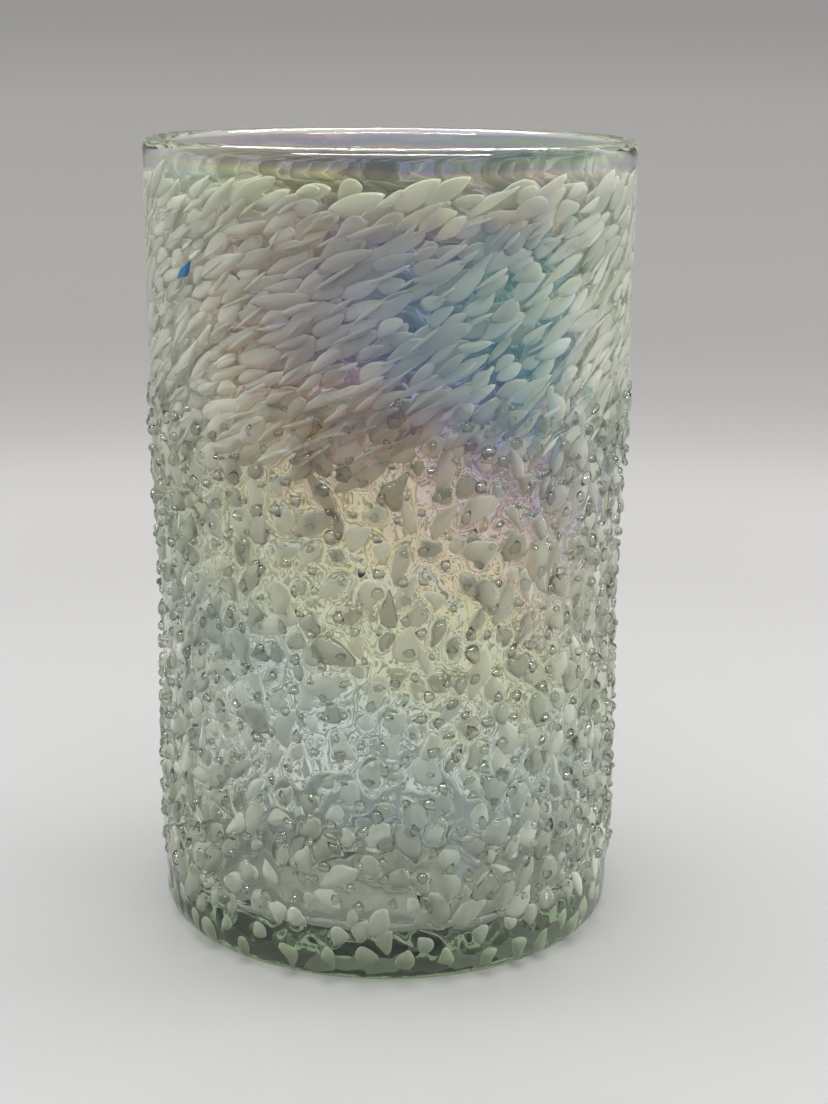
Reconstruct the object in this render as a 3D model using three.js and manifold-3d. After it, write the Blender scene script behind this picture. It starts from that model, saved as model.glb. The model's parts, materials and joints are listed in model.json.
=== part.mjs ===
// A hand blown art glass vase: a straight clear cylinder made of two gathers of glass.
// White opal chips lie between the gathers, and clear pebbles stand out of the lower wall.
// Millimetres, +Z up. The origin is the middle of the foot, on the surface that the vase stands on.

import * as THREE from 'three';
import { mergeVertices } from 'three/addons/utils/BufferGeometryUtils.js';
import Module from 'manifold-3d';

const wasm = await Module();
wasm.setup();

// The vase
const height = 152;
const bodyRadius = 45.0;
const lipRadius = 46.3;
const waistDepth = 0.3;         // the wall draws in a little where the pebbles begin
const waistHeight = 62;
const waistSpread = 12;
const flareStart = 62;          // above this the wall opens slowly to the lip
const flareEnd = 125;
const footRound = 4.8;          // round between the foot and the wall
const lipThickness = 3.4;

// How finely the round shapes are cut into flat faces
const aroundVase = 40;
const upTheWall = 8;
const perRound = 4;
const lensSides = 8;
const lensLayers = 4;
const mergeDistance = 1e-4;

// The two gathers
const casingThickness = 2.2;
const gatherThickness = 1.5;
const gap = 0.3;                // left between two pieces that touch
const casingFloor = 6.0;        // glass between the table and the first gather
const gatherFloor = 2.5;
const innerCorner = 5.0;        // round inside the bottom
const gatherTop = 143;          // the casing alone makes the lip above this
const gatherDepth = casingThickness + gap;             // from the outer skin in to the first gather
const innerDepth = gatherDepth + gatherThickness;      // and in to the inner skin
const gatherEdge = gatherThickness / 2;                // round of the first gather's top edge

// The foot
const hollowRadius = 26;        // the shallow hollow under the foot
const hollowDepth = 2.4;
const scarRadius = 9;
const scarThickness = 1.2;
const scarSides = 14;

// Three kinds of grain: how many, their size, the heights they lie between, their slant, and how deep in
// the wall their middles are. An opal chip's inner side lies on the first gather. The foot's chips and the
// pebbles show at the outer skin.
const opalChip = {
  count: 26, length: 8, width: 3.2, thickness: 1.2,
  low: 100, high: 139, slant: 32, depth: 1.6,
};
const footChip = {
  count: 9, length: 4.2, width: 3.8, thickness: 1.2,
  low: 8, high: 17, slant: 0, depth: 0.5,
};
const clearPebble = {
  count: 15, length: 3.4, width: 2.8, thickness: 2.4,
  low: 26, high: 92, slant: 80, depth: 0.4,
};

// Two single grains, which lie at the joint of the gathers as the opal chips do
const blueSliver = {
  length: 5.4, width: 1.5, thickness: 0.9,
  azimuth: -141.8, height: 129.9, slant: 26, depth: 1.75,
};
const darkSpeck = {
  length: 1.3, width: 0.9, thickness: 0.8,
  azimuth: -95.9, height: 79.1, slant: 30, depth: 1.8,
};

const front = -90;              // degrees round the vase, where each band of grains starts
const goldenAngle = 180 * (3 - Math.sqrt(5));
const degrees = Math.PI / 180;

const finish = {
  clear: { color: 0xc9d2c6, roughness: 0.05, metalness: 0, transparent: true, opacity: 0.35 },
  opal: { color: 0xe4e6dc, roughness: 0.3, metalness: 0 },
  blue: { color: 0x1259a6, roughness: 0.1, metalness: 0 },
  dark: { color: 0x14130f, roughness: 0.4, metalness: 0 },
  scar: { color: 0xa9bcab, roughness: 0.55, metalness: 0, transparent: true, opacity: 0.5 },
};

const vase = new THREE.Group();

function addPiece(name, geometry, finishName) {
  const piece = new THREE.Mesh(geometry, new THREE.MeshStandardMaterial(finish[finishName]));
  piece.name = name;
  vase.add(piece);
}

// Outer radius of the wall at a height above the foot.
function wallRadius(z) {
  const flare = (lipRadius - bodyRadius) * THREE.MathUtils.smoothstep(z, flareStart, flareEnd);
  const waist = waistDepth * Math.exp(-(((z - waistHeight) / waistSpread) ** 2));
  return bodyRadius + flare - waist;
}

// Points up one skin of the wall, at a depth in from the outer skin. The rounds at its ends give the end
// points.
function wallLine(depth, low, high) {
  const line = [];
  for (let i = 1; i < upTheWall; i += 1) {
    const z = low + ((high - low) * i) / upTheWall;
    line.push(new THREE.Vector2(wallRadius(z) - depth, z));
  }
  return line;
}

// Points on a round of a profile, from one angle to another about its centre.
function roundLine(centreRadius, centreHeight, radius, from, to) {
  const line = [];
  for (let i = 0; i <= perRound; i += 1) {
    const angle = (from + ((to - from) * i) / perRound) * degrees;
    const reach = radius * Math.cos(angle);
    line.push(new THREE.Vector2(centreRadius + reach, centreHeight + radius * Math.sin(angle)));
  }
  return line;
}

// A profile of radius and height, turned round the vase's axis.
function turned(profile, sides) {
  const geometry = new THREE.LatheGeometry(profile, sides);
  geometry.rotateX(Math.PI / 2);
  return merged(geometry);
}

// The same shape with its shared points joined, so that it is one closed body.
function merged(geometry) {
  geometry.deleteAttribute('normal');
  geometry.deleteAttribute('uv');
  return mergeVertices(geometry, mergeDistance);
}

// A lens of glass bent to the wall. Its length lies along the slant. Grown makes it larger all over.
function lens(size, azimuth, middle, grown) {
  const geometry = new THREE.SphereGeometry(1, lensSides, lensLayers);
  geometry.scale(size.length / 2 + grown, size.thickness / 2 + grown, size.width / 2 + grown);
  geometry.rotateY(-size.slant * degrees);
  const point = new THREE.Vector3();
  const place = geometry.attributes.position;
  for (let i = 0; i < place.count; i += 1) {
    point.fromBufferAttribute(place, i);
    const z = middle + point.z;
    const turn = azimuth * degrees + point.x / wallRadius(z);
    const radius = wallRadius(z) - size.depth - point.y;
    place.setXYZ(i, radius * Math.cos(turn), radius * Math.sin(turn), z);
  }
  return merged(geometry);
}

function solidOf(geometry) {
  return new wasm.Manifold(new wasm.Mesh({
    numProp: 3,
    vertProperties: new Float32Array(geometry.attributes.position.array),
    triVerts: new Uint32Array(geometry.index.array),
  }));
}

function geometryOf(solid) {
  const mesh = solid.getMesh();
  const geometry = new THREE.BufferGeometry();
  geometry.setAttribute('position', new THREE.BufferAttribute(mesh.vertProperties, 3));
  geometry.setIndex(new THREE.BufferAttribute(mesh.triVerts, 1));
  return geometry;
}

// Height of the hollow under the foot at a radius.
function hollowHeight(radius) {
  return hollowDepth * (1 - (radius / hollowRadius) ** 2);
}

// First gather: a cup inside the casing, with a round top edge that the casing's lip carries on from.
function innerGather() {
  const bottom = casingFloor + gap;
  const floor = bottom + gatherFloor;
  const outerCorner = innerCorner + gatherThickness;
  const edgeHeight = gatherTop - gatherEdge;
  const profile = [
    new THREE.Vector2(0, bottom),
    ...roundLine(wallRadius(0) - gatherDepth - outerCorner, bottom + outerCorner, outerCorner, -90, 0),
    ...wallLine(gatherDepth, bottom + outerCorner, edgeHeight),
    ...roundLine(wallRadius(gatherTop) - gatherDepth - gatherEdge, edgeHeight, gatherEdge, 0, 180),
    ...wallLine(innerDepth, floor + innerCorner, edgeHeight).reverse(),
    ...roundLine(wallRadius(0) - innerDepth - innerCorner, floor + innerCorner, innerCorner, 0, -90),
    new THREE.Vector2(0, floor),
  ];
  return turned(profile, aroundVase);
}

// Second gather: the outer wall, the thick foot with its hollow, and the whole lip.
function casingBlank() {
  const lipRound = lipThickness / 2;
  const seatCorner = innerCorner + gatherThickness + gap;
  const edgeHeight = gatherTop - gatherEdge;
  const profile = [
    new THREE.Vector2(0, hollowHeight(0)),
    new THREE.Vector2(hollowRadius / 2, hollowHeight(hollowRadius / 2)),
    new THREE.Vector2(hollowRadius, 0),
    ...roundLine(wallRadius(0) - footRound, footRound, footRound, -90, 0),
    ...wallLine(0, footRound, height - lipRound),
    ...roundLine(lipRadius - lipRound, height - lipRound, lipRound, 0, 180),
    new THREE.Vector2(lipRadius - lipThickness, gatherTop + lipThickness),
    ...roundLine(wallRadius(gatherTop) - gatherDepth - gatherEdge, edgeHeight, gatherEdge + gap, 90, 0),
    ...wallLine(casingThickness, casingFloor + seatCorner, edgeHeight).reverse(),
    ...roundLine(wallRadius(0) - casingThickness - seatCorner, casingFloor + seatCorner, seatCorner, 0, -90),
    new THREE.Vector2(0, casingFloor),
  ];
  return turned(profile, aroundVase);
}

// The broken disc that the punty leaves, under the hollow of the foot and clear of the table.
function puntyScar() {
  const middle = hollowHeight(0) - gap;
  const rim = hollowHeight(scarRadius) - gap;
  const profile = [
    new THREE.Vector2(0, middle - scarThickness),
    new THREE.Vector2(scarRadius - scarThickness, rim - scarThickness),
    new THREE.Vector2(scarRadius, rim - scarThickness / 2),
    new THREE.Vector2(scarRadius - scarThickness / 2, rim),
    new THREE.Vector2(0, middle),
  ];
  return turned(profile, scarSides);
}

// Each lens goes in with a pocket cut for it in the casing.
const pockets = [];

function addLens(name, kind, azimuth, middle, finishName) {
  addPiece(name, lens(kind, azimuth, middle, 0), finishName);
  pockets.push(lens(kind, azimuth, middle, gap));
}

// A band of lenses spread evenly round the wall.
function addBand(name, kind, finishName) {
  for (let i = 0; i < kind.count; i += 1) {
    const number = String(i + 1).padStart(2, '0');
    const middle = kind.low + ((kind.high - kind.low) * (i + 0.5)) / kind.count;
    addLens(`${name}_${number}`, kind, front + goldenAngle * i, middle, finishName);
  }
}

addPiece('inner_gather', innerGather(), 'clear');
addBand('opal_chip', opalChip, 'opal');
addBand('foot_chip', footChip, 'opal');
addBand('clear_pebble', clearPebble, 'clear');
addLens('blue_sliver', blueSliver, blueSliver.azimuth, blueSliver.height, 'blue');
addLens('dark_speck', darkSpeck, darkSpeck.azimuth, darkSpeck.height, 'dark');
addPiece('punty_scar', puntyScar(), 'scar');

const casing = pockets.reduce((solid, pocket) => solid.subtract(solidOf(pocket)), solidOf(casingBlank()));
addPiece('outer_casing', geometryOf(casing), 'clear');

export default vase;
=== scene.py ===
import json
import math
import random

import bmesh
import bpy
import numpy as np
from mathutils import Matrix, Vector

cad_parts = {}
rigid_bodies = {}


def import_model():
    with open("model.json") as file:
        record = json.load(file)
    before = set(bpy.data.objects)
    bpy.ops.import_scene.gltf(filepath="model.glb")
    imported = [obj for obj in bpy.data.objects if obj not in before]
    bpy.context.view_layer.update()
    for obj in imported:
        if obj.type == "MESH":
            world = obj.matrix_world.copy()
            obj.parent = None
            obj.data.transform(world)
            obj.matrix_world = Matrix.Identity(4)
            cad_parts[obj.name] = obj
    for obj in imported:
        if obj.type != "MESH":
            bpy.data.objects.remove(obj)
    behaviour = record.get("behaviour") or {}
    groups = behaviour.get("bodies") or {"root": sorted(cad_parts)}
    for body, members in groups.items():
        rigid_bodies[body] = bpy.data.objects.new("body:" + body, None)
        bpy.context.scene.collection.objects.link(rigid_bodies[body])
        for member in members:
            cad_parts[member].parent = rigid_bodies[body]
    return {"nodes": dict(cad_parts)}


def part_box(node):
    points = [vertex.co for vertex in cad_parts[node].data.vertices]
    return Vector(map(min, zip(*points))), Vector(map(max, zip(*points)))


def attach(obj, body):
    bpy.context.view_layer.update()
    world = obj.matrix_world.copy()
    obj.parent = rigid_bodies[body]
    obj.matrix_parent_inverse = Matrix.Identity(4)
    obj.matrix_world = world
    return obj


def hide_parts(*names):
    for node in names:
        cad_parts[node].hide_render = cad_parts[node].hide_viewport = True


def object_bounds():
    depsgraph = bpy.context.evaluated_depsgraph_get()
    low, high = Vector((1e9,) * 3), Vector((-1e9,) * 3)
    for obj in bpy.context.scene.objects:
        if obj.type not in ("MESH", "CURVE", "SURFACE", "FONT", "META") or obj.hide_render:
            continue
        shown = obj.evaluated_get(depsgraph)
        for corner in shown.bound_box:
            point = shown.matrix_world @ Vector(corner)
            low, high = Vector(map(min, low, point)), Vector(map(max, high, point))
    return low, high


# A hand blown art glass vase. Metres, +Z up, standing on the floor at the origin, front towards -Y.

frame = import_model()
cadLow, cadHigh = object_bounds()
mm = 0.001
random.seed(20)
print("frame loaded:", len(frame["nodes"]), "nodes")

# The shape that the design gives, and how finely the skin is cut
vase = {
    "height": cadHigh.z,
    "lipRadius": cadHigh.x,
    "bodyRadius": 45.0 * mm,
    "waistDepth": 0.3 * mm, "waistHeight": 62 * mm, "waistSpread": 12 * mm,
    "flareStart": 62 * mm, "flareEnd": 125 * mm,
    "wallThickness": 4.0 * mm,
    "lipThickness": 3.4 * mm,
    "footRound": 4.8 * mm,
    "hollowRadius": 26 * mm, "hollowDepth": 2.4 * mm,
    "floorHeight": 8.8 * mm, "innerRound": 5.0 * mm,
    "thinFrom": 110 * mm,  # above this the wall thins towards the lip
    "columns": 396,
    "rowsLow": 142, "rowsHigh": 58, "rowsSplit": 104 * mm,
    # steps along each other stretch of the outline
    "hollowSteps": 5, "ringSteps": 4, "footSteps": 9, "lipSteps": 10, "insideSteps": 15,
    "cornerSteps": 5, "floorSteps": 4,
}


def smoothStep(value, start, end):
    share = np.clip((value - start) / (end - start), 0, 1)
    return share * share * (3 - 2 * share)


def wallRadius(z):
    flare = (vase["lipRadius"] - vase["bodyRadius"]) * smoothStep(z, vase["flareStart"], vase["flareEnd"])
    waist = vase["waistDepth"] * np.exp(-((z - vase["waistHeight"]) / vase["waistSpread"]) ** 2)
    return vase["bodyRadius"] + flare - waist


def makeObject(name, bm, finish):
    mesh = bpy.data.meshes.new(name)
    bm.to_mesh(mesh)
    bm.free()
    mesh.materials.append(finish)
    mesh.polygons.foreach_set("use_smooth", [True] * len(mesh.polygons))
    piece = bpy.data.objects.new(name, mesh)
    bpy.context.scene.collection.objects.link(piece)
    return piece


def readPoints(mesh):
    points = np.empty(len(mesh.vertices) * 3)
    mesh.vertices.foreach_get("co", points)
    return points.reshape(-1, 3)


def writePoints(mesh, points):
    mesh.vertices.foreach_set("co", points.ravel())
    mesh.update()


class Nodes:
    # A short way to lay out a material's nodes
    def __init__(self, name):
        self.material = bpy.data.materials.new(name)
        self.material.use_nodes = True
        self.tree = self.material.node_tree
        self.tree.nodes.clear()
        self.output = self.add("ShaderNodeOutputMaterial")

    def add(self, kind, **settings):
        node = self.tree.nodes.new(kind)
        for name, value in settings.items():
            setattr(node, name, value)
        return node

    def link(self, source, target):
        self.tree.links.new(source, target)

    def put(self, value, socket):
        if isinstance(value, bpy.types.NodeSocket):
            self.link(value, socket)
        else:
            socket.default_value = value

    def feed(self, node, **inputs):
        for name, value in inputs.items():
            self.put(value, node.inputs[name.replace("_", " ")])

    def math(self, operation, first, second=0.0, third=0.0):
        node = self.add("ShaderNodeMath", operation=operation)
        for socket, value in zip(node.inputs, (first, second, third)):
            self.put(value, socket)
        return node.outputs[0]

    def vector(self, operation, first, second=(0.0, 0.0, 0.0), factor=1.0):
        node = self.add("ShaderNodeVectorMath", operation=operation)
        for socket, value in zip(node.inputs, (first, second)):
            self.put(value, socket)
        node.inputs[3].default_value = factor
        return node.outputs[0]

    def noise(self, vector, scale, detail=2.0, roughness=0.5, distortion=0.0):
        node = self.add("ShaderNodeTexNoise")
        self.feed(node, Vector=vector, Scale=scale, Detail=detail, Roughness=roughness,
                  Distortion=distortion)
        return node.outputs["Fac"]

    def ramp(self, factor, stops):
        node = self.add("ShaderNodeValToRGB")
        while len(node.color_ramp.elements) < len(stops):
            node.color_ramp.elements.new(0.5)
        for element, (place, colour) in zip(node.color_ramp.elements, stops):
            element.position = place
            element.color = (*colour, 1.0)
        self.link(factor, node.inputs["Fac"])
        return node.outputs["Color"]

    def mixColour(self, factor, first, second):
        # Sockets 6 and 7 are the two colours of a mix node, and output 2 is its colour
        node = self.add("ShaderNodeMix", data_type="RGBA")
        self.put(factor, node.inputs[0])
        self.put(first, node.inputs[6])
        self.put(second, node.inputs[7])
        return node.outputs[2]

    def mapRange(self, value, fromLow, fromHigh, toLow, toHigh):
        node = self.add("ShaderNodeMapRange", interpolation_type="SMOOTHSTEP")
        self.feed(node, Value=value, From_Min=fromLow, From_Max=fromHigh, To_Min=toLow, To_Max=toHigh)
        return node.outputs["Result"]


lustre = {
    # thickness of the sprayed film in nanometres by height share, from the foot (0) to the lip (1)
    "film": [
        (0.00, 0), (0.14, 0), (0.24, 44), (0.34, 60), (0.43, 76), (0.52, 90), (0.61, 108), (0.68, 130),
        (0.76, 148), (0.84, 150), (0.90, 138), (0.935, 124), (0.952, 88), (0.972, 76), (0.983, 172),
        (1.00, 60),
    ],
    "filmIndex": 1.95,
    "thickest": 200.0,
    # under the lip it lies evenly and shines less
    "calmLow": 138 * mm, "calmHigh": 147 * mm, "calmShare": 0.1,
    "lean": 7.5,  # how much thicker it gets across the front, per metre
    # how far it wanders in height share, over wide and over small patches
    "wideScale": 24.0, "wander": 0.20, "smallScale": 95.0, "flicker": 0.18,
    # the colour the film gives the glass, by its share of the thickest: partly the tint it leaves on the
    # light coming through, partly a painted reflection of its iridescence
    "tintAndPaintedReflection": [
        (0.00, (0.95, 0.97, 0.93)), (0.20, (0.91, 0.93, 0.89)), (0.29, (0.73, 0.86, 0.84)),
        (0.37, (0.96, 0.93, 0.56)), (0.45, (0.95, 0.86, 0.75)), (0.55, (0.88, 0.74, 0.83)),
        (0.65, (0.66, 0.61, 0.82)), (0.75, (0.59, 0.66, 0.84)), (0.87, (0.57, 0.76, 0.72)),
        (0.98, (0.66, 0.82, 0.58)),
    ],
    # how strongly the inner and the outer skin carry it, and where it fades as the wall turns away, so that
    # the painted reflection is strongest where the wall faces the camera
    "innerStrength": 0.90, "outerStrength": 0.65, "fadeFrom": 0.18, "fadeTo": 0.55, "fadedStrength": 0.10,
}

glassTone = {
    "index": 1.5, "roughness": 0.03,
    "clear": (0.97, 0.98, 0.965), "foot": (0.56, 0.68, 0.50),
    "footLow": 5 * mm, "footHigh": 12 * mm,
    "absorb": (0.70, 0.80, 0.66), "density": 22.0,
    "shadow": (0.90, 0.92, 0.89),  # what it leaves of the light of a lamp
}

# The crackle of the pebbled part of the outer skin: rounded cells, a little bent and squashed
crackle = {
    "top": 0.098, "fade": 0.016, "depth": 0.0006, "squash": 0.72,
    "warpScale": 170.0, "warp": 0.0022, "cellScale": 230.0, "smoothness": 0.3,
}


def lightThrough(n, glass):
    # Glass that lets the lamps light what lies in it and under it
    lamp = n.add("ShaderNodeLightPath")
    clear = n.add("ShaderNodeBsdfTransparent")
    clear.inputs["Color"].default_value = (*glassTone["shadow"], 1)
    mix = n.add("ShaderNodeMixShader")
    n.link(lamp.outputs["Is Shadow Ray"], mix.inputs[0])
    n.link(glass.outputs[0], mix.inputs[1])
    n.link(clear.outputs[0], mix.inputs[2])
    n.link(mix.outputs[0], n.output.inputs["Surface"])
    return n.material


def lustreGlass():
    # One material for the whole body: the attribute outerSkin says where the film and the crackle are
    n = Nodes("lustreGlass")
    place = n.add("ShaderNodeTexCoord").outputs["Object"]
    split = n.add("ShaderNodeSeparateXYZ")
    n.link(place, split.inputs[0])
    skin = n.add("ShaderNodeAttribute", attribute_name="outerSkin").outputs["Fac"]
    height = n.math("DIVIDE", split.outputs["Z"], vase["height"])
    drift = n.noise(place, lustre["wideScale"], distortion=0.6)
    patch = n.noise(place, lustre["smallScale"], detail=3.0, roughness=0.6, distortion=1.0)
    wander = n.math("MULTIPLY", n.math("SUBTRACT", drift, 0.5), lustre["wander"])
    flicker = n.math("MULTIPLY", n.math("SUBTRACT", patch, 0.5), lustre["flicker"])
    calm = n.mapRange(split.outputs["Z"], lustre["calmLow"], lustre["calmHigh"], 1.0, lustre["calmShare"])
    level = n.math("MULTIPLY_ADD", n.math("ADD", wander, flicker), calm, height)
    lean = n.math("MULTIPLY_ADD", split.outputs["X"], lustre["lean"], 1.0)
    share = n.ramp(level, [(at, (nm / lustre["thickest"],) * 3) for at, nm in lustre["film"]])
    share = n.math("MULTIPLY", share, lean)
    thickness = n.math("MULTIPLY", n.math("MULTIPLY", share, skin), lustre["thickest"])
    facing = n.add("ShaderNodeLayerWeight")
    facing.inputs["Blend"].default_value = 0.5
    front = n.mapRange(
        facing.outputs["Facing"], lustre["fadeFrom"], lustre["fadeTo"], 1.0, lustre["fadedStrength"])
    shine = n.math("MULTIPLY", front, calm)
    filmIndex = n.math("MULTIPLY_ADD", shine, lustre["filmIndex"] - glassTone["index"], glassTone["index"])
    glass = n.add("ShaderNodeBsdfPrincipled")
    n.feed(glass, Roughness=glassTone["roughness"], IOR=glassTone["index"], Transmission_Weight=1.0,
           Thin_Film_IOR=filmIndex, Thin_Film_Thickness=thickness)
    # the film's colours in the base colour: the tint of light coming through, and a painted reflection,
    # stronger on the inner skin and where the wall faces the camera
    span = lustre["outerStrength"] - lustre["innerStrength"]
    tintAndReflectionShare = n.math("MULTIPLY", n.math("MULTIPLY_ADD", skin, span, lustre["innerStrength"]), front)
    colour = n.mixColour(tintAndReflectionShare, (*glassTone["clear"], 1), n.ramp(share, lustre["tintAndPaintedReflection"]))
    footShare = n.mapRange(split.outputs["Z"], glassTone["footLow"], glassTone["footHigh"], 1.0, 0.0)
    colour = n.mixColour(n.math("MULTIPLY", footShare, skin), colour, (*glassTone["foot"], 1))
    n.link(colour, glass.inputs["Base Color"])
    low = n.mapRange(split.outputs["Z"], crackle["top"], crackle["top"] + crackle["fade"], 1.0, 0.0)
    warp = n.add("ShaderNodeTexNoise")
    n.feed(warp, Vector=place, Scale=crackle["warpScale"], Detail=1.0)
    shift = n.vector("SUBTRACT", warp.outputs["Color"], (0.5, 0.5, 0.5))
    shift = n.vector("SCALE", shift, factor=crackle["warp"])
    bent = n.vector("MULTIPLY", n.vector("ADD", place, shift), (1.0, 1.0, crackle["squash"]))
    cells = n.add("ShaderNodeTexVoronoi", feature="SMOOTH_F1")
    n.feed(cells, Vector=bent, Scale=crackle["cellScale"], Smoothness=crackle["smoothness"])
    relief = n.math("MULTIPLY", cells.outputs["Distance"], -1.0)
    bump = n.add("ShaderNodeBump")
    n.feed(bump, Strength=n.math("MULTIPLY", low, skin), Distance=crackle["depth"], Height=relief)
    n.link(bump.outputs["Normal"], glass.inputs["Normal"])
    absorb = n.add("ShaderNodeVolumeAbsorption")
    n.feed(absorb, Color=(*glassTone["absorb"], 1), Density=glassTone["density"])
    n.link(absorb.outputs[0], n.output.inputs["Volume"])
    return lightThrough(n, glass)


opal = {
    "cloudScale": 420.0, "cloudShare": 0.35, "toneShare": 0.75,
    "colours": [(0.10, (0.62, 0.64, 0.56)), (0.55, (0.77, 0.79, 0.71)), (0.95, (0.90, 0.91, 0.84))],
    "rimHighlightColour": (0.93, 0.94, 0.88), "rimHighlightPower": 6.0, "rimHighlightShare": 0.75,
    "roughness": 0.35, "index": 1.05, "sheen": 0.3, "sheenRoughness": 0.4,
    "through": 0.4,  # the share of the light that goes through a chip
}


def opalGlass():
    # Each chip has a tone of its own, and a painted highlight makes it whiter towards its rim, where its
    # edges would catch the light
    n = Nodes("opalGlass")
    place = n.add("ShaderNodeTexCoord").outputs["Object"]
    tone = n.add("ShaderNodeAttribute", attribute_name="tone").outputs["Fac"]
    rim = n.add("ShaderNodeAttribute", attribute_name="rim").outputs["Fac"]
    cloud = n.noise(place, opal["cloudScale"], detail=3.0, roughness=0.6)
    cloud = n.math("MULTIPLY", cloud, opal["cloudShare"])
    shade = n.math("ADD", n.math("MULTIPLY", tone, opal["toneShare"]), cloud)
    # painted highlight: the chip's colour is mixed towards white at its rim
    edge = n.math("MULTIPLY", n.math("POWER", rim, opal["rimHighlightPower"]), opal["rimHighlightShare"])
    colour = n.mixColour(edge, n.ramp(shade, opal["colours"]), (*opal["rimHighlightColour"], 1))
    milk = n.add("ShaderNodeBsdfPrincipled")
    n.feed(milk, Base_Color=colour, Roughness=opal["roughness"], IOR=opal["index"],
           Sheen_Weight=opal["sheen"], Sheen_Roughness=opal["sheenRoughness"])
    through = n.add("ShaderNodeBsdfTranslucent")
    n.link(colour, through.inputs["Color"])
    mix = n.add("ShaderNodeMixShader")
    mix.inputs[0].default_value = opal["through"]
    n.link(milk.outputs[0], mix.inputs[1])
    n.link(through.outputs[0], mix.inputs[2])
    n.link(mix.outputs[0], n.output.inputs["Surface"])
    return n.material


plain = {"mottleScale": 700.0, "darkest": 0.75, "bumpStrength": 0.6}


def plainSurface(name, colour, roughness, transmission=0.0, bumpSize=0.0, index=1.5):
    n = Nodes(name)
    place = n.add("ShaderNodeTexCoord").outputs["Object"]
    mottle = n.noise(place, plain["mottleScale"], detail=3.0)
    dark = tuple(plain["darkest"] * part for part in colour)
    shade = n.mixColour(mottle, (*colour, 1), (*dark, 1))
    surface = n.add("ShaderNodeBsdfPrincipled")
    n.feed(surface, Base_Color=shade, Roughness=roughness, IOR=index, Transmission_Weight=transmission)
    if bumpSize:
        bump = n.add("ShaderNodeBump")
        n.feed(bump, Strength=plain["bumpStrength"], Distance=bumpSize, Height=mottle)
        n.link(bump.outputs["Normal"], surface.inputs["Normal"])
    if transmission == 1.0:
        return lightThrough(n, surface)
    n.link(surface.outputs[0], n.output.inputs["Surface"])
    return n.material


bodyFinish = lustreGlass()
opalFinish = opalGlass()
beadFinish = plainSurface("beadGlass", (0.92, 0.94, 0.89), 0.02, 1.0)
# a low index, so that the lumps over the chips bend the light only a little
lensFinish = plainSurface("lensGlass", (0.97, 0.98, 0.96), 0.02, 1.0, index=1.25)
blueFinish = plainSurface("cobaltGlass", (0.0, 0.15, 0.40), 0.15)
darkFinish = plainSurface("darkGrain", (0.02, 0.02, 0.018), 0.4)
scarFinish = plainSurface("brokenGlass", (0.70, 0.80, 0.72), 0.35, 0.6, bumpSize=0.4 * mm)
print("materials made")


around = 2 * math.pi * vase["bodyRadius"]

# Each band of grains: sizes in metres, the heights between which they lie, and how close they may come
upperChips = {
    "low": 99 * mm, "high": 145 * mm, "tries": 7000, "apart": (5.0 * mm, 1.9 * mm),
    "length": (4.8 * mm, 12.0 * mm), "width": (1.9 * mm, 3.7 * mm), "thickness": (0.6 * mm, 0.9 * mm),
    "slant": (29, 8), "depth": (0.8 * mm, 1.5 * mm), "bulge": 0.12 * mm, "uneven": 0.12,
    "tone": (0.15, 1.00),
}
deepChips = {
    "low": 97 * mm, "high": 144 * mm, "tries": 2500, "apart": (8.5 * mm, 4.2 * mm),
    "length": (6.0 * mm, 12.0 * mm), "width": (2.6 * mm, 4.4 * mm), "thickness": (0.6 * mm, 0.9 * mm),
    "slant": (31, 9), "depth": (2.0 * mm, 2.9 * mm), "bulge": 0.04 * mm, "uneven": 0.12,
    "tone": (0.00, 0.35),
}
slivers = {
    "low": 99 * mm, "high": 142 * mm, "tries": 900, "apart": (6.0 * mm, 2.2 * mm),
    "length": (4.0 * mm, 9.0 * mm), "width": (0.6 * mm, 1.3 * mm), "thickness": (0.4 * mm, 0.7 * mm),
    "slant": (31, 9), "depth": (0.5 * mm, 0.9 * mm), "bulge": 0.05 * mm, "uneven": 0.10,
    "tone": (0.50, 1.00),
}
lowerChips = {
    "low": 12 * mm, "high": 108 * mm, "tries": 7000, "apart": (4.6 * mm, 3.6 * mm),
    "length": (2.6 * mm, 8.6 * mm), "width": (2.0 * mm, 4.6 * mm), "thickness": (0.8 * mm, 1.2 * mm),
    "slant": (78, 30), "depth": (1.0 * mm, 2.0 * mm), "bulge": 0.25 * mm, "uneven": 0.24,
    "tone": (0.15, 1.00),
}
footChips = {
    "low": 3.5 * mm, "high": 13 * mm, "tries": 900, "apart": (4.6 * mm, 4.2 * mm),
    "length": (3.2 * mm, 5.2 * mm), "width": (2.8 * mm, 4.4 * mm), "thickness": (1.0 * mm, 1.4 * mm),
    "slant": (80, 30), "depth": (1.5 * mm, 2.3 * mm), "bulge": 0.12 * mm, "uneven": 0.12,
    "tone": (0.00, 0.30),
}
pebbles = {
    "low": 14 * mm, "high": 106 * mm, "tries": 6000, "apart": (3.3 * mm, 3.3 * mm),
    "length": (1.3 * mm, 3.2 * mm), "width": (1.2 * mm, 2.6 * mm), "thickness": (1.3 * mm, 2.2 * mm),
    "slant": (80, 35), "depth": (-0.05 * mm, 0.25 * mm), "bulge": 0.25 * mm, "uneven": 0.12,
    "tone": (0.00, 1.00),
}
# clear lumps over a share of the lower chips
lenses = {
    "share": 0.45, "larger": 1.12, "thickness": (2.0 * mm, 2.6 * mm), "depth": (0.45 * mm, 0.75 * mm),
}
# the large pebbles' sizes as shares of how far each of the design's pebbles reaches
largeShape = {"width": 0.88, "thickness": 0.5, "depth": 0.12}
# how much one grain differs from the next; a power over 1 makes more small grains than large ones
variety = {
    "power": 1.3, "narrowest": 0.8, "widening": 0.3, "bulge": (0.6, 1.3),
    "taper": (-0.5, 0.5), "bend": (-0.5, 0.5), "point": (0.0, 0.55), "evenest": 0.04,
}


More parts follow.
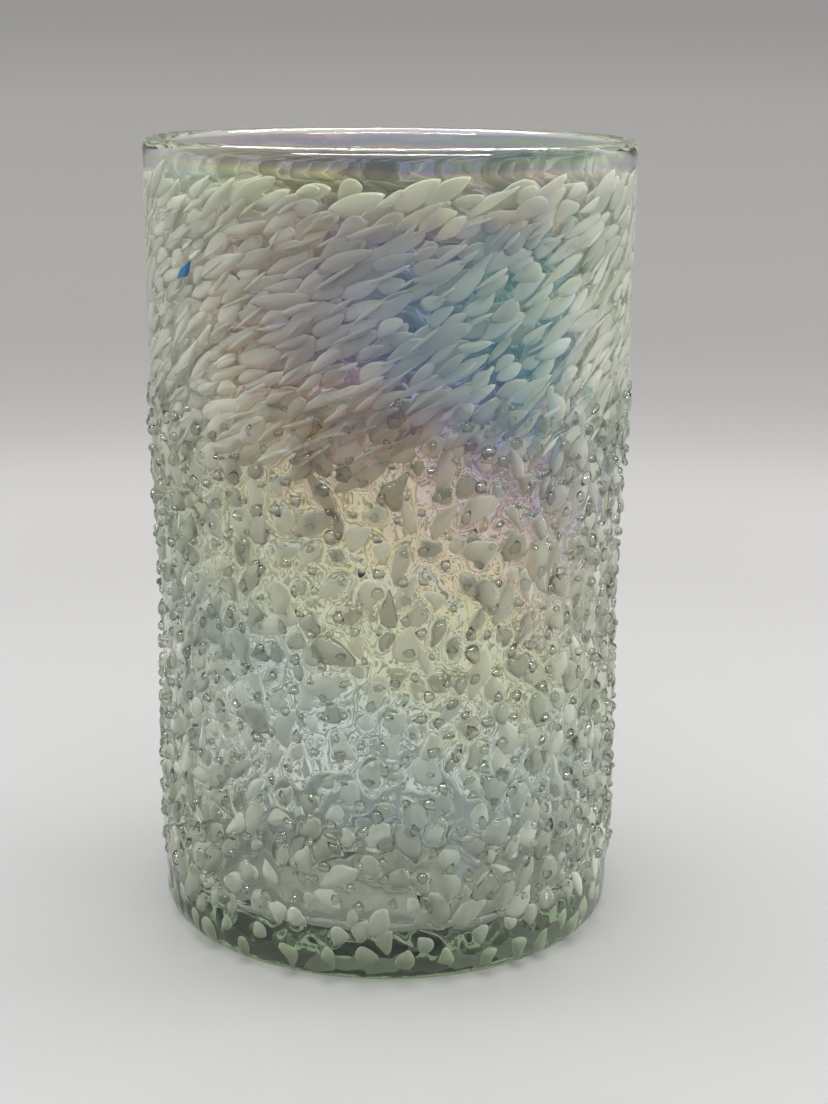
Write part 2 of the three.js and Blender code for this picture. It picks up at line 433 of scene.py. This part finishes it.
def scatter(band, startAt=()):
    # Grains dropped at random, each kept only if it has room along and across its slant
    turn = math.radians(band["slant"][0])
    along, across = band["apart"]
    kept = [list(place) for place in startAt]
    for attempt in range(band["tries"]):
        s = random.uniform(0, around)
        z = random.uniform(band["low"], band["high"])
        if kept:
            places = np.array(kept)
            ds = (places[:, 0] - s + around / 2) % around - around / 2
            dz = places[:, 1] - z
            p = ds * math.cos(turn) + dz * math.sin(turn)
            q = -ds * math.sin(turn) + dz * math.cos(turn)
            if ((p / along) ** 2 + (q / across) ** 2).min() < 1:
                continue
        kept.append([s, z])
    shortest, longest = band["length"]
    grains = []
    for s, z in kept:
        size = random.random()
        grains.append({
            "s": s, "z": z,
            "length": shortest + (longest - shortest) * size ** variety["power"],
            "width": random.uniform(*band["width"]) * (variety["narrowest"] + variety["widening"] * size),
            "thickness": random.uniform(*band["thickness"]),
            "slant": math.radians(random.gauss(*band["slant"])),
            "depth": random.uniform(*band["depth"]),
            "bulge": band["bulge"] * random.uniform(*variety["bulge"]),
            "taper": random.uniform(*variety["taper"]),
            "bend": random.uniform(*variety["bend"]),
            "tone": random.uniform(*band["tone"]),
            "point": random.uniform(*variety["point"]),
            "uneven": random.uniform(variety["evenest"], band["uneven"]),
        })
    return grains


def nodePlaces(prefix):
    # The design's own grains come first: (distance round the wall, height) of each node's middle
    places = []
    for name in sorted(frame["nodes"]):
        if name.startswith(prefix):
            low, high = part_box(name)
            middle = (low + high) / 2
            azimuth = math.atan2(middle.y, middle.x) % (2 * math.pi)
            places.append((azimuth * vase["bodyRadius"], middle.z))
    return places


def nodesNamed(prefix):
    return [name for name in sorted(frame["nodes"]) if name.startswith(prefix)]


def clearOf(grains, node, gap):
    s, z = nodePlaces(node)[0]
    return [grain for grain in grains if math.hypot(grain["s"] - s, grain["z"] - z) > gap]


upperGrains = scatter(upperChips, nodePlaces("opal_chip"))
deepGrains = scatter(deepChips)
sliverGrains = scatter(slivers)
lowerGrains = scatter(lowerChips)
footGrains = scatter(footChips, nodePlaces("foot_chip"))
upperGrains = clearOf(upperGrains, "blue_sliver", 3.0 * mm)
sliverGrains = clearOf(sliverGrains, "blue_sliver", 3.0 * mm)
lowerGrains = clearOf(lowerGrains, "dark_speck", 3.2 * mm)
pebbleGrains = scatter(pebbles, nodePlaces("clear_pebble"))
largeGrains = []
for name in nodesNamed("clear_pebble"):
    low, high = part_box(name)
    across = high.z - low.z
    shape = {key: share * across for key, share in largeShape.items()}
    largeGrains.append(dict(pebbleGrains.pop(0), length=across, taper=0.0, bend=0.0, point=0.0, **shape))
pebbleGrains = clearOf(pebbleGrains, "dark_speck", 2.2 * mm)
print("large pebbles:", len(largeGrains))
lensGrains = [dict(
    grain, length=grain["length"] * lenses["larger"], width=grain["width"] * lenses["larger"],
    thickness=random.uniform(*lenses["thickness"]), depth=random.uniform(*lenses["depth"]),
) for grain in lowerGrains if random.random() < lenses["share"]]
print("grains:", len(upperGrains), len(deepGrains), len(lowerGrains), len(footGrains), len(pebbleGrains))


def roundPoints(centreRadius, centreHeight, radius, start, end, steps):
    angles = [math.radians(start + (end - start) * i / steps) for i in range(steps + 1)]
    return [(centreRadius + radius * math.cos(a), centreHeight + radius * math.sin(a)) for a in angles]


def profilePoints():
    lip = vase["lipThickness"] / 2
    foot = vase["footRound"]
    corner = vase["innerRound"]
    wall = vase["wallThickness"]
    split, top = vase["rowsSplit"], vase["height"] - lip
    hollow, steps = vase["hollowRadius"], vase["hollowSteps"]
    points = [(hollow * i / steps, vase["hollowDepth"] * (1 - (i / steps) ** 2)) for i in range(steps + 1)]
    footFlat = wallRadius(0) - foot
    steps = vase["ringSteps"]
    points += [(hollow + (footFlat - hollow) * i / steps, 0.0) for i in range(1, steps)]
    points += roundPoints(footFlat, foot, foot, -90, 0, vase["footSteps"])
    heights = [foot + (split - foot) * i / vase["rowsLow"] for i in range(1, vase["rowsLow"])]
    heights += [split + (top - split) * i / vase["rowsHigh"] for i in range(vase["rowsHigh"])]
    points += [(float(wallRadius(z)), z) for z in heights]
    points += roundPoints(vase["lipRadius"] - lip, top, lip, 0, 180, vase["lipSteps"])
    innerTop = vase["lipRadius"] - vase["lipThickness"]
    bottom = vase["floorHeight"] + corner
    steps = vase["insideSteps"]
    for i in range(1, steps):
        z = top + (bottom - top) * i / steps
        thinning = smoothStep(z, vase["thinFrom"], top)
        points.append((float((wallRadius(z) - wall) * (1 - thinning) + innerTop * thinning), z))
    flat, steps = float(wallRadius(0)) - wall - corner, vase["floorSteps"]
    points += roundPoints(flat, bottom, corner, 0, -90, vase["cornerSteps"])
    points += [(flat * (1 - i / steps), vase["floorHeight"]) for i in range(1, steps + 1)]
    return points


def glassBody():
    bm = bmesh.new()
    chain = [bm.verts.new((radius, 0, z)) for radius, z in profilePoints()]
    for first, second in zip(chain, chain[1:]):
        bm.edges.new((first, second))
    bmesh.ops.spin(
        bm, geom=bm.verts[:] + bm.edges[:], cent=(0, 0, 0), axis=(0, 0, 1),
        angle=2 * math.pi, steps=vase["columns"], use_merge=True,
    )
    bmesh.ops.remove_doubles(bm, verts=bm.verts[:], dist=1e-6)
    bmesh.ops.recalc_face_normals(bm, faces=bm.faces[:])
    return makeObject("glass_body", bm, bodyFinish)


skinRelief = {
    # round each kind of grain: how far the skin is raised, in grain sizes, and how steeply it falls away
    "upper": (1.12, 1.2), "deep": (1.12, 1.2), "lower": (1.1, 0.7), "lowerSkirt": (1.55, 1.0),
    "foot": (1.1, 1.0), "pebbles": (1.9, 1.6), "largePebbles": (1.5, 1.2),
    # it fades out at the foot and under the lip
    "footLow": 0.4 * mm, "footHigh": 5 * mm, "lipLow": 146 * mm, "lipHigh": 149 * mm,
    # the pebbled part ends between these heights
    "pebbledLow": 98 * mm, "pebbledHigh": 112 * mm,
    # how far the skin is set back, so that the raised parts stay near the wall of the design
    "setBack": 0.15 * mm, "pebbledSetBack": 0.25 * mm,
    # slow swells over the whole wall and a finer crinkle on the pebbled part: size and height
    "swell": [(40 * mm, 0.10 * mm), (12 * mm, 0.05 * mm)],
    "crinkle": [(5 * mm, 0.06 * mm), (3 * mm, 0.05 * mm)],
    # where the swells fade in above the table, and how much calmer they get at the lip
    "swellLow": 1 * mm, "swellHigh": 6 * mm, "lipCalmLow": 140 * mm, "lipCalmHigh": 150 * mm, "lipCalm": 0.7,
}


def raiseGrains(s, z, grains, spread, power):
    # Height of the skin over a set of grains: the highest cap wins, so that each one keeps its edge
    raised = np.zeros_like(s)
    order = np.argsort(z)
    sortedZ = z[order]
    for grain in grains:
        half = grain["length"] * 0.5 * spread
        near = order[np.searchsorted(sortedZ, grain["z"] - half):np.searchsorted(sortedZ, grain["z"] + half)]
        ds = (s[near] - grain["s"] + around / 2) % around - around / 2
        close = np.abs(ds) < half
        near, ds = near[close], ds[close]
        dz = z[near] - grain["z"]
        cosine, sine = math.cos(grain["slant"]), math.sin(grain["slant"])
        p = (ds * cosine + dz * sine) / half
        q = (-ds * sine + dz * cosine) / (grain["width"] * 0.5 * spread)
        cap = grain["bulge"] * np.clip(1 - p * p - q * q, 0, 1) ** power
        raised[near] = np.maximum(raised[near], cap)
    return raised


def waves(s, z, sizes, seed):
    # Six sets of ripples for each size, which close up round the vase
    chance = np.random.default_rng(seed)
    total = np.zeros_like(s)
    for size, height in sizes:
        for ripple in range(6):
            turns = max(1, round(around / size * chance.uniform(0.3, 1.0)))
            rise = chance.uniform(-1, 1) * 2 * math.pi / size
            start = chance.uniform(0, 6.3)
            total += height / 2.5 * np.sin(turns * s / vase["bodyRadius"] + rise * z + start)
    return total


def shapeSkin(body):
    mesh = body.data
    points = readPoints(mesh)
    radius = np.hypot(points[:, 0], points[:, 1])
    z = points[:, 2]
    s = (np.arctan2(points[:, 1], points[:, 0]) % (2 * math.pi)) * vase["bodyRadius"]
    outside = radius > wallRadius(z) - vase["wallThickness"] * 0.3
    outside |= (z < vase["footRound"]) & (radius > vase["hollowRadius"] + 8 * mm)
    relief = skinRelief
    skin = smoothStep(z, relief["footLow"], relief["footHigh"]) * outside
    skin = skin * (1 - smoothStep(z, relief["lipLow"], relief["lipHigh"]))
    pebbled = 1 - smoothStep(z, relief["pebbledLow"], relief["pebbledHigh"])
    raised = raiseGrains(s, z, upperGrains, *relief["upper"])
    raised = np.maximum(raised, raiseGrains(s, z, deepGrains, *relief["deep"]))
    raised = np.maximum(raised, raiseGrains(s, z, lowerGrains, *relief["lower"]))
    raised = raised + raiseGrains(s, z, lowerGrains, *relief["lowerSkirt"])
    raised = np.maximum(raised, raiseGrains(s, z, footGrains, *relief["foot"]))
    raised += raiseGrains(s, z, pebbleGrains, *relief["pebbles"])
    raised += raiseGrains(s, z, largeGrains, *relief["largePebbles"])
    crinkle = waves(s, z, relief["crinkle"], 4)
    raised += (crinkle - relief["pebbledSetBack"]) * pebbled - relief["setBack"]
    calm = 1 - relief["lipCalm"] * smoothStep(z, relief["lipCalmLow"], relief["lipCalmHigh"])
    swell = waves(s, z, relief["swell"], 3) * smoothStep(z, relief["swellLow"], relief["swellHigh"])
    move = raised * skin + swell * calm
    share = 1 + move / np.maximum(radius, 1 * mm)
    points[:, 0] *= share
    points[:, 1] *= share
    writePoints(mesh, points)
    mark = mesh.attributes.new("outerSkin", "FLOAT", "POINT")
    mark.data.foreach_set("value", (outside & (z > 1 * mm)).astype(np.float32))


glass = glassBody()
shapeSkin(glass)
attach(glass, "root")
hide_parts("inner_gather", "outer_casing")
print("glass body:", len(glass.data.polygons), "faces")


footPull = 0.55  # how far a grain in the round of the foot leans inwards, for each metre below it


def grainPiece(name, grains, finish, sides, layers, flatness=1.0):
    # One joined piece of many lens-shaped grains, each bent to the wall
    one = bmesh.new()
    bmesh.ops.create_uvsphere(one, u_segments=sides, v_segments=layers, radius=0.5)
    lens = bpy.data.meshes.new(name + "Lens")
    one.to_mesh(lens)
    one.free()
    count = len(lens.vertices)
    shape = readPoints(lens)
    reach = np.hypot(shape[:, 0], shape[:, 1])
    fuller = 0.5 * (2 * reach) ** flatness / np.maximum(reach, 1e-6)
    shape[:, 0] *= fuller
    shape[:, 1] *= fuller
    heading = np.arctan2(shape[:, 1], shape[:, 0])
    bm = bmesh.new()
    for grain in grains:
        bm.from_mesh(lens)
    piece = makeObject(name, bm, finish)
    bpy.data.meshes.remove(lens)
    points = readPoints(piece.data)
    for i, grain in enumerate(grains):
        wobble = 1 + grain["uneven"] * np.sin(2 * heading + random.uniform(0, 6.3))
        wobble *= 1 + grain["uneven"] * np.sin(3 * heading + random.uniform(0, 6.3))
        u = shape[:, 0] * grain["length"] * wobble
        v = shape[:, 1] * grain["width"] * wobble * (1 + grain["taper"] * 2 * shape[:, 0])
        v = v * (1 - grain["point"] * 4 * shape[:, 0] ** 2)
        v = v + grain["bend"] * grain["width"] * (4 * shape[:, 0] ** 2 - 0.5) * 0.5
        w = shape[:, 2] * grain["thickness"]
        cosine, sine = math.cos(grain["slant"]), math.sin(grain["slant"])
        z = grain["z"] + u * sine + v * cosine
        angle = (grain["s"] + u * cosine - v * sine) / vase["bodyRadius"]
        radius = wallRadius(z) - grain["depth"] + w
        radius = radius - np.maximum(0, vase["footRound"] - z) * footPull
        placed = np.column_stack((radius * np.cos(angle), radius * np.sin(angle), z))
        points[i * count:(i + 1) * count] = placed
    writePoints(piece.data, points)
    tone = piece.data.attributes.new("tone", "FLOAT", "POINT")
    tone.data.foreach_set("value", np.repeat([grain["tone"] for grain in grains], count).astype(np.float32))
    # how far out towards its rim each point of a chip lies; the chip material whitens it there as a painted
    # highlight
    rim = piece.data.attributes.new("rim", "FLOAT", "POINT")
    rim.data.foreach_set("value", np.tile(np.minimum(1, 2 * reach), len(grains)).astype(np.float32))
    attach(piece, "root")
    return piece


blueShard = {
    "length": 5.2 * mm, "width": 1.9 * mm, "thickness": 0.8 * mm, "slant": math.radians(40),
    "depth": 0.35 * mm, "taper": -0.55, "bend": 0.3, "point": 0.75, "tone": 0.5, "uneven": 0.10,
}
darkGrain = {
    "length": 1.6 * mm, "width": 1.1 * mm, "thickness": 0.8 * mm, "slant": math.radians(-20),
    "depth": -0.15 * mm, "taper": 0.5, "bend": 0.4, "point": 0.1, "tone": 0.5, "uneven": 0.15,
}
upper = grainPiece("opal_chips_upper", upperGrains, opalFinish, 16, 4, 0.7)
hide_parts(*nodesNamed("opal_chip"))
thin = grainPiece("opal_slivers", sliverGrains, opalFinish, 12, 4, 0.8)
deep = grainPiece("opal_chips_deep", deepGrains, opalFinish, 14, 4, 0.7)
lower = grainPiece("opal_chips_lower", lowerGrains, opalFinish, 14, 4, 0.7)
foot = grainPiece("foot_chips", footGrains, opalFinish, 16, 4, 0.7)
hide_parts(*nodesNamed("foot_chip"))
beads = grainPiece("clear_pebbles", pebbleGrains, beadFinish, 8, 6)
large = grainPiece("large_pebbles", largeGrains, beadFinish, 24, 12)
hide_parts(*nodesNamed("clear_pebble"))
domes = grainPiece("clear_lenses", lensGrains, lensFinish, 12, 6)
for name, node, finish, slot, grain in (
    ("blue_shard", "blue_sliver", blueFinish, "cobalt_blue", blueShard),
    ("dark_grain", "dark_speck", darkFinish, "dark_grain", darkGrain),
):
    s, z = nodePlaces(node)[0]
    piece = grainPiece(name, [dict(grain, s=s, z=z)], finish, 24, 8, 0.8)
    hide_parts(node)
for slot in frame["nodes"]["punty_scar"].material_slots:
    slot.material = scarFinish
print("grains made")


room = {
    "floorRadius": 1.15, "coveRadius": 0.35, "wallHeight": 1.0, "segments": 96,
    # the sweep's tone by distance from the vase, then up the wall, with painted shade: a little darker close
    # round the vase and darker higher up the wall
    "paintedShadeTones": [
        (0.0, 0.41), (0.12, 0.425), (0.20, 0.43), (0.27, 0.42), (0.37, 0.455), (0.44, 0.45),
        (0.52, 0.405), (0.63, 0.39), (0.80, 0.415), (1.2, 0.34), (1.3, 0.27), (1.6, 0.25),
    ],
    "blueShare": 0.985, "warmth": 0.045, "warmthReach": 0.8,  # it is warmer further out
    "roughness": 0.7,
}


def sweepFinish():
    n = Nodes("paleSweep")
    place = n.add("ShaderNodeTexCoord").outputs["Object"]
    split = n.add("ShaderNodeSeparateXYZ")
    n.link(place, split.inputs[0])
    across, along = (n.math("POWER", split.outputs[axis], 2.0) for axis in "XY")
    travel = n.math("ADD", n.math("SQRT", n.math("ADD", across, along)), split.outputs["Z"])
    far = room["paintedShadeTones"][-1][0]
    stops = []
    for at, value in room["paintedShadeTones"]:
        cool = room["blueShare"] - room["warmth"] * min(1, at / room["warmthReach"])
        stops.append((at / far, (value, value * (1 + cool) / 2, value * cool)))
    # painted shade on the sweep, from the tones above
    tone = n.ramp(n.math("DIVIDE", travel, far), stops)
    matte = n.add("ShaderNodeBsdfPrincipled")
    n.feed(matte, Base_Color=tone, Roughness=room["roughness"])
    n.link(matte.outputs[0], n.output.inputs["Surface"])
    return n.material


def sweep():
    bm = bmesh.new()
    cove = room["coveRadius"]
    edge = room["floorRadius"] - cove
    outline = [(0.0, 0.0), (0.15, 0.0), (0.4, 0.0)]
    outline += roundPoints(edge, cove, cove, -90, 0, 10)
    outline += [(room["floorRadius"], room["wallHeight"])]
    chain = [bm.verts.new((radius, 0, z)) for radius, z in outline]
    for first, second in zip(chain, chain[1:]):
        bm.edges.new((first, second))
    bmesh.ops.spin(
        bm, geom=bm.verts[:] + bm.edges[:], cent=(0, 0, 0), axis=(0, 0, 1),
        angle=2 * math.pi, steps=room["segments"], use_merge=True,
    )
    bmesh.ops.remove_doubles(bm, verts=bm.verts[:], dist=1e-6)
    bmesh.ops.recalc_face_normals(bm, faces=bm.faces[:])
    bmesh.ops.reverse_faces(bm, faces=[face for face in bm.faces if face.normal.z < 0])
    makeObject("sweep", bm, sweepFinish())


def addLight(name, place, aim, **settings):
    light = bpy.data.lights.new(name, "AREA")
    for key, value in settings.items():
        setattr(light, key, value)
    lamp = bpy.data.objects.new(name, light)
    bpy.context.scene.collection.objects.link(lamp)
    lamp.location = place
    lamp.rotation_euler = (Vector(aim) - Vector(place)).to_track_quat("-Z", "Y").to_euler()
    return lamp


lamps = {
    "topPlace": (0, -0.05, 1.3), "topSize": 1.1, "topPower": 14.5,
    # a row of small lamps above and behind the vase
    "rowPlace": (0.18, 0.58), "dots": 30, "rowLength": 0.58, "dotSize": 0.012, "dotPower": 0.22,
    # lamps that only make glints: place, width, height and power
    "glints": {
        "backStrip": ((0, 0.28, 0.58), 0.60, 0.02, 3.0),
        "frontStrip": ((0, -0.75, 0.85), 1.8, 0.08, 28.0),
        "frontPanel": ((0, -0.85, 0.5), 1.3, 0.5, 2.0),
    },
    # soft panels that only light the grains: what they aim at, place and power
    "fillAim": (0, 0, 90 * mm), "fillSize": 0.5,
    "fills": {
        "leftPanel": ((-0.85, 0.15, 0.28), 3.8), "rightPanel": ((0.85, 0.15, 0.28), 5.4),
        "frontFill": ((0, -0.9, 0.35), 1.0),
    },
    "worldTone": (0.97, 0.98, 1.0), "worldStrength": 0.75,
}


def glintOnly(light):
    # A lamp that makes glints, but lights nothing by way of the glass
    light.use_nodes = True
    tree = light.node_tree
    tree.nodes.clear()
    path = tree.nodes.new("ShaderNodeLightPath")
    direct = tree.nodes.new("ShaderNodeMath")
    direct.operation = "LESS_THAN"
    direct.inputs[1].default_value = 0.5
    glow = tree.nodes.new("ShaderNodeEmission")
    out = tree.nodes.new("ShaderNodeOutputLight")
    tree.links.new(path.outputs["Diffuse Depth"], direct.inputs[0])
    tree.links.new(direct.outputs[0], glow.inputs["Strength"])
    tree.links.new(glow.outputs[0], out.inputs["Surface"])


def glintLamp(name, place, aim, width, height, power):
    lamp = addLight(name, place, aim, shape="RECTANGLE", size=width, size_y=height, energy=power)
    lamp.visible_diffuse = False
    lamp.visible_transmission = False
    lamp.visible_camera = False
    glintOnly(lamp.data)


def lights():
    top = addLight("topBox", lamps["topPlace"], (0, 0, 0), shape="SQUARE", size=lamps["topSize"],
                   energy=lamps["topPower"])
    top.visible_glossy = False
    top.visible_transmission = False
    lip = (0, 0, vase["height"])
    dots, size = lamps["dots"], lamps["dotSize"]
    for i in range(dots):
        x = lamps["rowLength"] * (i / (dots - 1) - 0.5) + random.uniform(-0.5, 0.5) * size
        glintLamp(f"dot{i}", (x, *lamps["rowPlace"]), lip, size, size, lamps["dotPower"])
    for name, (place, width, height, power) in lamps["glints"].items():
        glintLamp(name, place, lip, width, height, power)
    for name, (place, power) in lamps["fills"].items():
        fill = addLight(name, place, lamps["fillAim"], shape="SQUARE", size=lamps["fillSize"], energy=power)
        fill.visible_transmission = False
        fill.visible_glossy = False
        fill.visible_camera = False
    world = bpy.data.worlds.new("softRoom")
    bpy.context.scene.world = world
    world.use_nodes = True
    world.node_tree.nodes["Background"].inputs["Color"].default_value = (*lamps["worldTone"], 1)
    world.node_tree.nodes["Background"].inputs["Strength"].default_value = lamps["worldStrength"]


def camera():
    view = {
        "place": (0.0, -0.381, 0.168), "down": 14.2, "roll": -0.35,
        "lens": 64.9, "shiftX": 0.021, "clipStart": 0.01,
    }
    data = bpy.data.cameras.new("camera")
    eye = bpy.data.objects.new("camera", data)
    bpy.context.scene.collection.objects.link(eye)
    data.lens = view["lens"]
    data.shift_x = view["shiftX"]
    data.clip_start = view["clipStart"]
    eye.location = view["place"]
    eye.rotation_euler = (math.radians(90 - view["down"]), math.radians(view["roll"]), 0)
    bpy.context.scene.camera = eye


sweep()
lights()
camera()
bpy.context.scene.view_settings.view_transform = "Standard"
print("stage made")
